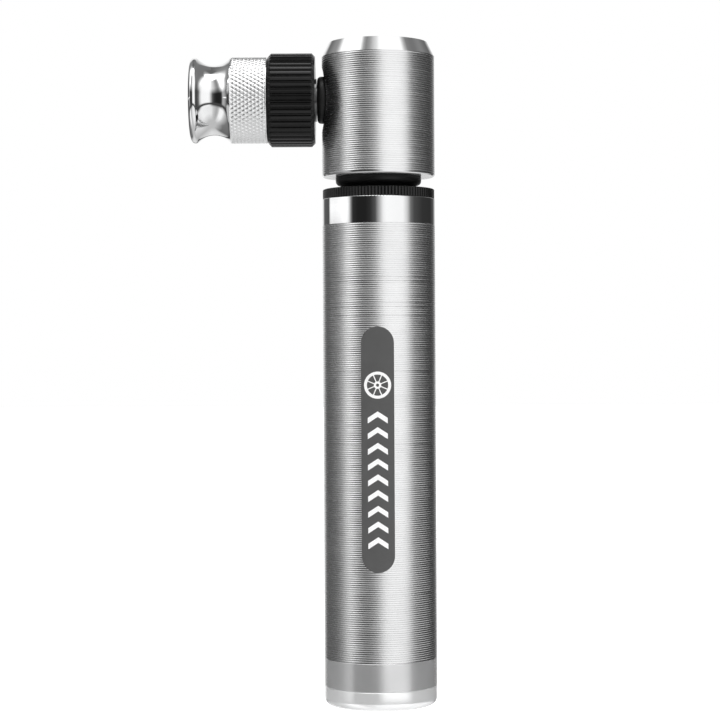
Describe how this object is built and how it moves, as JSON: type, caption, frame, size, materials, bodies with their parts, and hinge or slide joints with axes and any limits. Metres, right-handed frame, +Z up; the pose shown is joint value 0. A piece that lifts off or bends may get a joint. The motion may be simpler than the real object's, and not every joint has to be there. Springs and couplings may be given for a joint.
{
  "type": "mini bicycle pump",
  "caption": "Pocket-size hand pump: turned aluminium barrel sliding on an inner cylinder, with a swivelling screw-on valve chuck at the side of its head.",
  "frame": {"origin": "centre of the end cap's flat base, which the pump stands on", "axes": "+Z up the barrel's axis to the head; the chuck points along -X; the label faces -Y"},
  "size_m": [0.0476, 0.022, 0.1292],
  "materials": {
    "turned_aluminium": "satin",
    "polished_aluminium": "polished",
    "drawn_aluminium": "satin",
    "black_plastic": "satin",
    "black_rubber": "matte",
    "label_film": "satin",
    "white_acetal": "satin",
    "steel": "satin",
    "plated_brass": "satin"
  },
  "bodies": {
    "handle": {"barrel_tube": "turned_aluminium", "end_cap": "polished_aluminium", "label": "label_film", "gland_ring": "black_plastic", "wiper_ring": "black_rubber", "piston_rod": "steel", "rod_nut": "steel", "piston": "white_acetal", "piston_nut": "steel"},
    "piston_ring": {"piston_o_ring": "black_rubber"},
    "guide": {"guide_bush": "white_acetal"},
    "head": {"head_body": "turned_aluminium", "cylinder_tube": "drawn_aluminium", "cylinder_foot": "black_plastic", "foot_buffer": "black_rubber", "cylinder_gasket": "black_rubber", "bump_stop": "black_rubber", "valve_seat": "plated_brass", "valve_spring": "steel", "swivel_stem": "steel", "neck_o_ring": "black_rubber", "stem_o_ring": "black_rubber"},
    "check_valve": {"valve_poppet": "white_acetal", "valve_seal": "black_rubber"},
    "grip": {"grip_nut": "black_plastic", "nut_core": "plated_brass"},
    "seal": {"collar_seal": "black_rubber"},
    "collar": {"valve_collar": "polished_aluminium", "valve_pin": "steel", "valve_grommet": "black_rubber"}
  },
  "joints": [
    {"name": "handle_twist", "type": "hinge", "parent": "handle", "child": "guide", "pos_m": [0, 0, 0.095], "axis": [0, 0, 1], "continuous": true},
    {"name": "pump_stroke", "type": "slide", "parent": "guide", "child": "head", "axis": [0, 0, 1], "range_m": [0, 0.0739]},
    {"name": "ring_float", "type": "slide", "parent": "handle", "child": "piston_ring", "axis": [0, 0, 1], "range_m": [0, 0.0005]},
    {"name": "check_lift", "type": "slide", "parent": "head", "child": "check_valve", "axis": [0, 0, 1], "range_m": [0, 0.0008], "stiffness_N_per_m": 150, "springref_m": -0.0015, "deforming": ["valve_spring"]},
    {"name": "chuck_swivel", "type": "hinge", "parent": "head", "child": "grip", "pos_m": [-0.015, 0, 0.1181], "axis": [-1, 0, 0], "continuous": true},
    {"name": "collar_advance", "type": "slide", "parent": "grip", "child": "seal", "axis": [-1, 0, 0], "range_m": [0, 0.0032]},
    {"name": "collar_turn", "type": "hinge", "parent": "seal", "child": "collar", "pos_m": [-0.02, 0, 0.1181], "axis": [-1, 0, 0], "range_deg": [0, 1440]}
  ],
  "couplings": [
    {"joint": "collar_advance", "follows": "collar_turn", "m_per_rad": 0.00012637}
  ]
}
